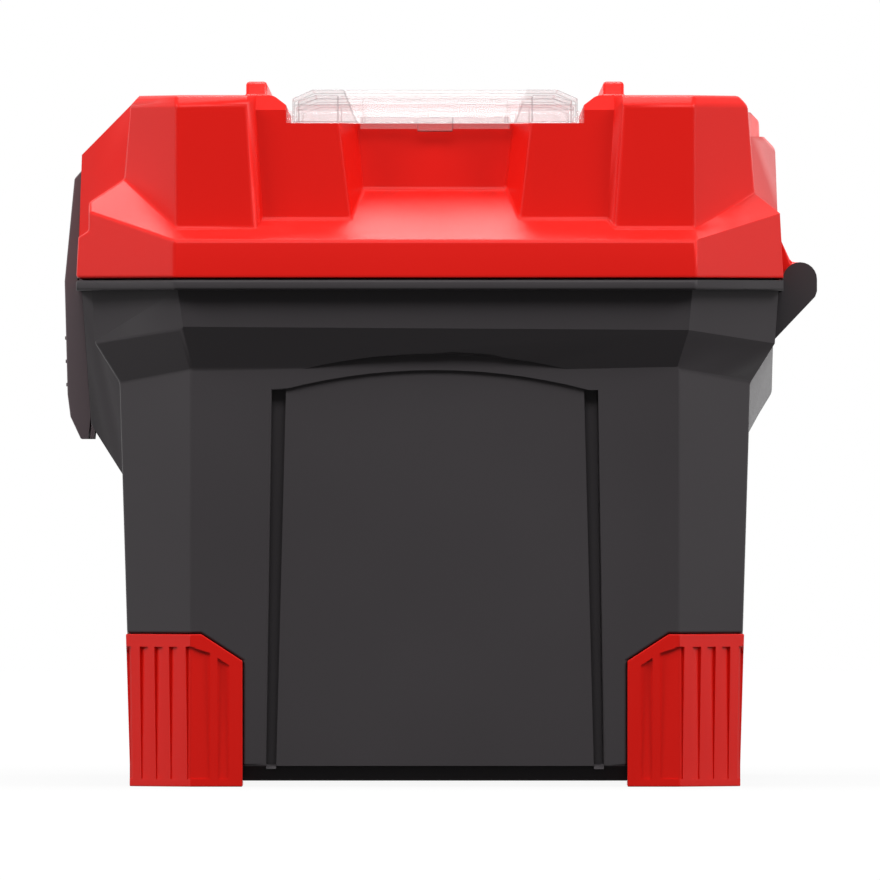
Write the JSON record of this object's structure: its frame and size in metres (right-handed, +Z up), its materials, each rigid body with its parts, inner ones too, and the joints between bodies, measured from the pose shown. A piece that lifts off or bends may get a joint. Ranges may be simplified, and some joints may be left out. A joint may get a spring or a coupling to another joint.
{
  "type": "tool case",
  "caption": "Moulded tool case with a hinged lid, over-centre latches, a fold-down carrying handle, clear-covered organizers in the lid and a lift-out tray.",
  "frame": {"origin": "on the floor, under the middle of the overall box", "axes": "+X along the case's long side, +Y from the latches to the hinges, +Z up; metres"},
  "size_m": [0.496, 0.2576, 0.2404],
  "materials": {
    "dark_pp": "fine-textured moulded polypropylene",
    "red_pp": "satin moulded polypropylene",
    "clear_ps": "clear polished polystyrene",
    "steel": "zinc-plated steel wire",
    "rubber": "soft moulded grip",
    "grey_pp": "moulded polypropylene"
  },
  "bodies": {
    "case": {"bin": "dark_pp", "foot_front_left": "red_pp", "foot_front_right": "red_pp", "foot_rear_left": "red_pp", "foot_rear_right": "red_pp", "hinge_pin_left": "steel", "hinge_pin_right": "steel"},
    "lid": {"lid": "red_pp", "latch_pin_left": "steel", "latch_pin_right": "steel", "handle_pin_left": "steel", "handle_pin_right": "steel", "organizer_divider_left": "grey_pp", "organizer_divider_right": "grey_pp"},
    "latch_left": {"latch_left": "dark_pp"},
    "latch_right": {"latch_right": "dark_pp"},
    "handle": {"handle_bail": "dark_pp", "handle_grip": "rubber"},
    "cover_left": {"organizer_cover_left": "clear_ps"},
    "cover_right": {"organizer_cover_right": "clear_ps"},
    "tray": {"tool_tray": "grey_pp"}
  },
  "joints": [
    {"name": "lid_hinge", "type": "hinge", "parent": "case", "child": "lid", "pos_m": [0, 0.123, 0.173], "axis": [-1, 0, 0], "range_deg": [0, 105]},
    {"name": "latch_left_hinge", "type": "hinge", "parent": "lid", "child": "latch_left", "pos_m": [-0.105, -0.1188, 0.204], "axis": [-1, 0, 0], "range_deg": [0, 90]},
    {"name": "latch_right_hinge", "type": "hinge", "parent": "lid", "child": "latch_right", "pos_m": [0.105, -0.1188, 0.204], "axis": [-1, 0, 0], "range_deg": [0, 90]},
    {"name": "handle_swing", "type": "hinge", "parent": "lid", "child": "handle", "pos_m": [0, -0.0018, 0.2095], "axis": [-1, 0, 0], "range_deg": [0, 180]},
    {"name": "cover_left_hinge", "type": "hinge", "parent": "lid", "child": "cover_left", "pos_m": [-0.0995, -0.0018, 0.2296], "axis": [0, 1, 0], "range_deg": [0, 90]},
    {"name": "cover_right_hinge", "type": "hinge", "parent": "lid", "child": "cover_right", "pos_m": [0.0995, -0.0018, 0.2296], "axis": [0, -1, 0], "range_deg": [0, 90]},
    {"name": "tray_lift", "type": "slide", "parent": "case", "child": "tray", "axis": [0, 0, 1], "range_m": [0, 0.01]}
  ]
}
